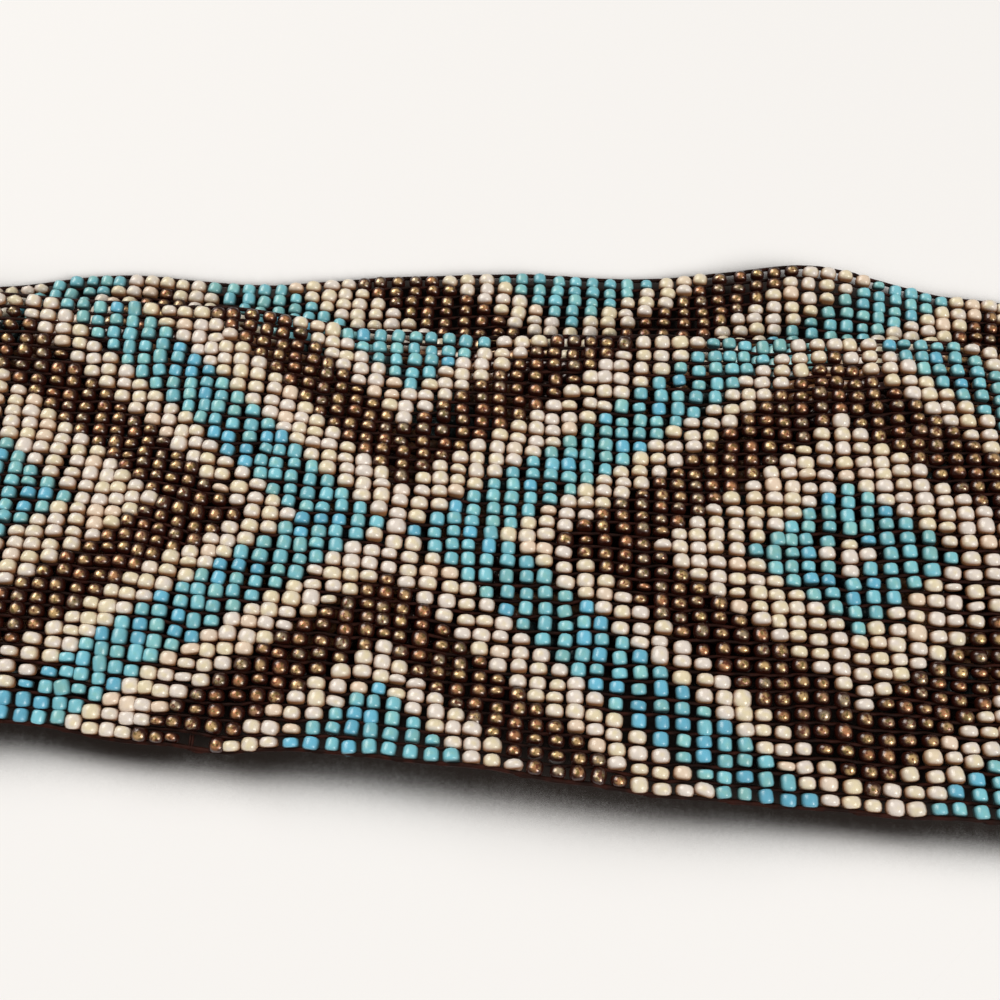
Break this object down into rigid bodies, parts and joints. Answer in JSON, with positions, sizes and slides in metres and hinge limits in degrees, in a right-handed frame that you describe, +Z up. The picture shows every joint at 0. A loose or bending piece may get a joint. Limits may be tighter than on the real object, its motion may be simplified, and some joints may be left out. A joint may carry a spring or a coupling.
{
  "type": "loom-woven beaded belt, folded once",
  "caption": "Wide loom-woven seed-bead belt with nested V bands, folded once and lying flat, with leather end tabs and a metal hook.",
  "frame": {"origin": "middle of the base, on the surface that the belt lies on", "axes": "+X along the belt from its fold towards its free ends, +Y across it towards the edge where the lower ply shows, +Z up"},
  "size_m": [0.4076, 0.0728, 0.0085],
  "materials": {
    "beads": "opaque and lustre glass seed beads on dark thread",
    "leather": "dark brown, smooth, satin",
    "hook_metal": "bent strip, satin"
  },
  "bodies": {
    "root": {"bead_band": "beads", "slot_tab": "leather", "hook_tab": "leather", "clasp_hook": "hook_metal"}
  },
  "joints": []
}
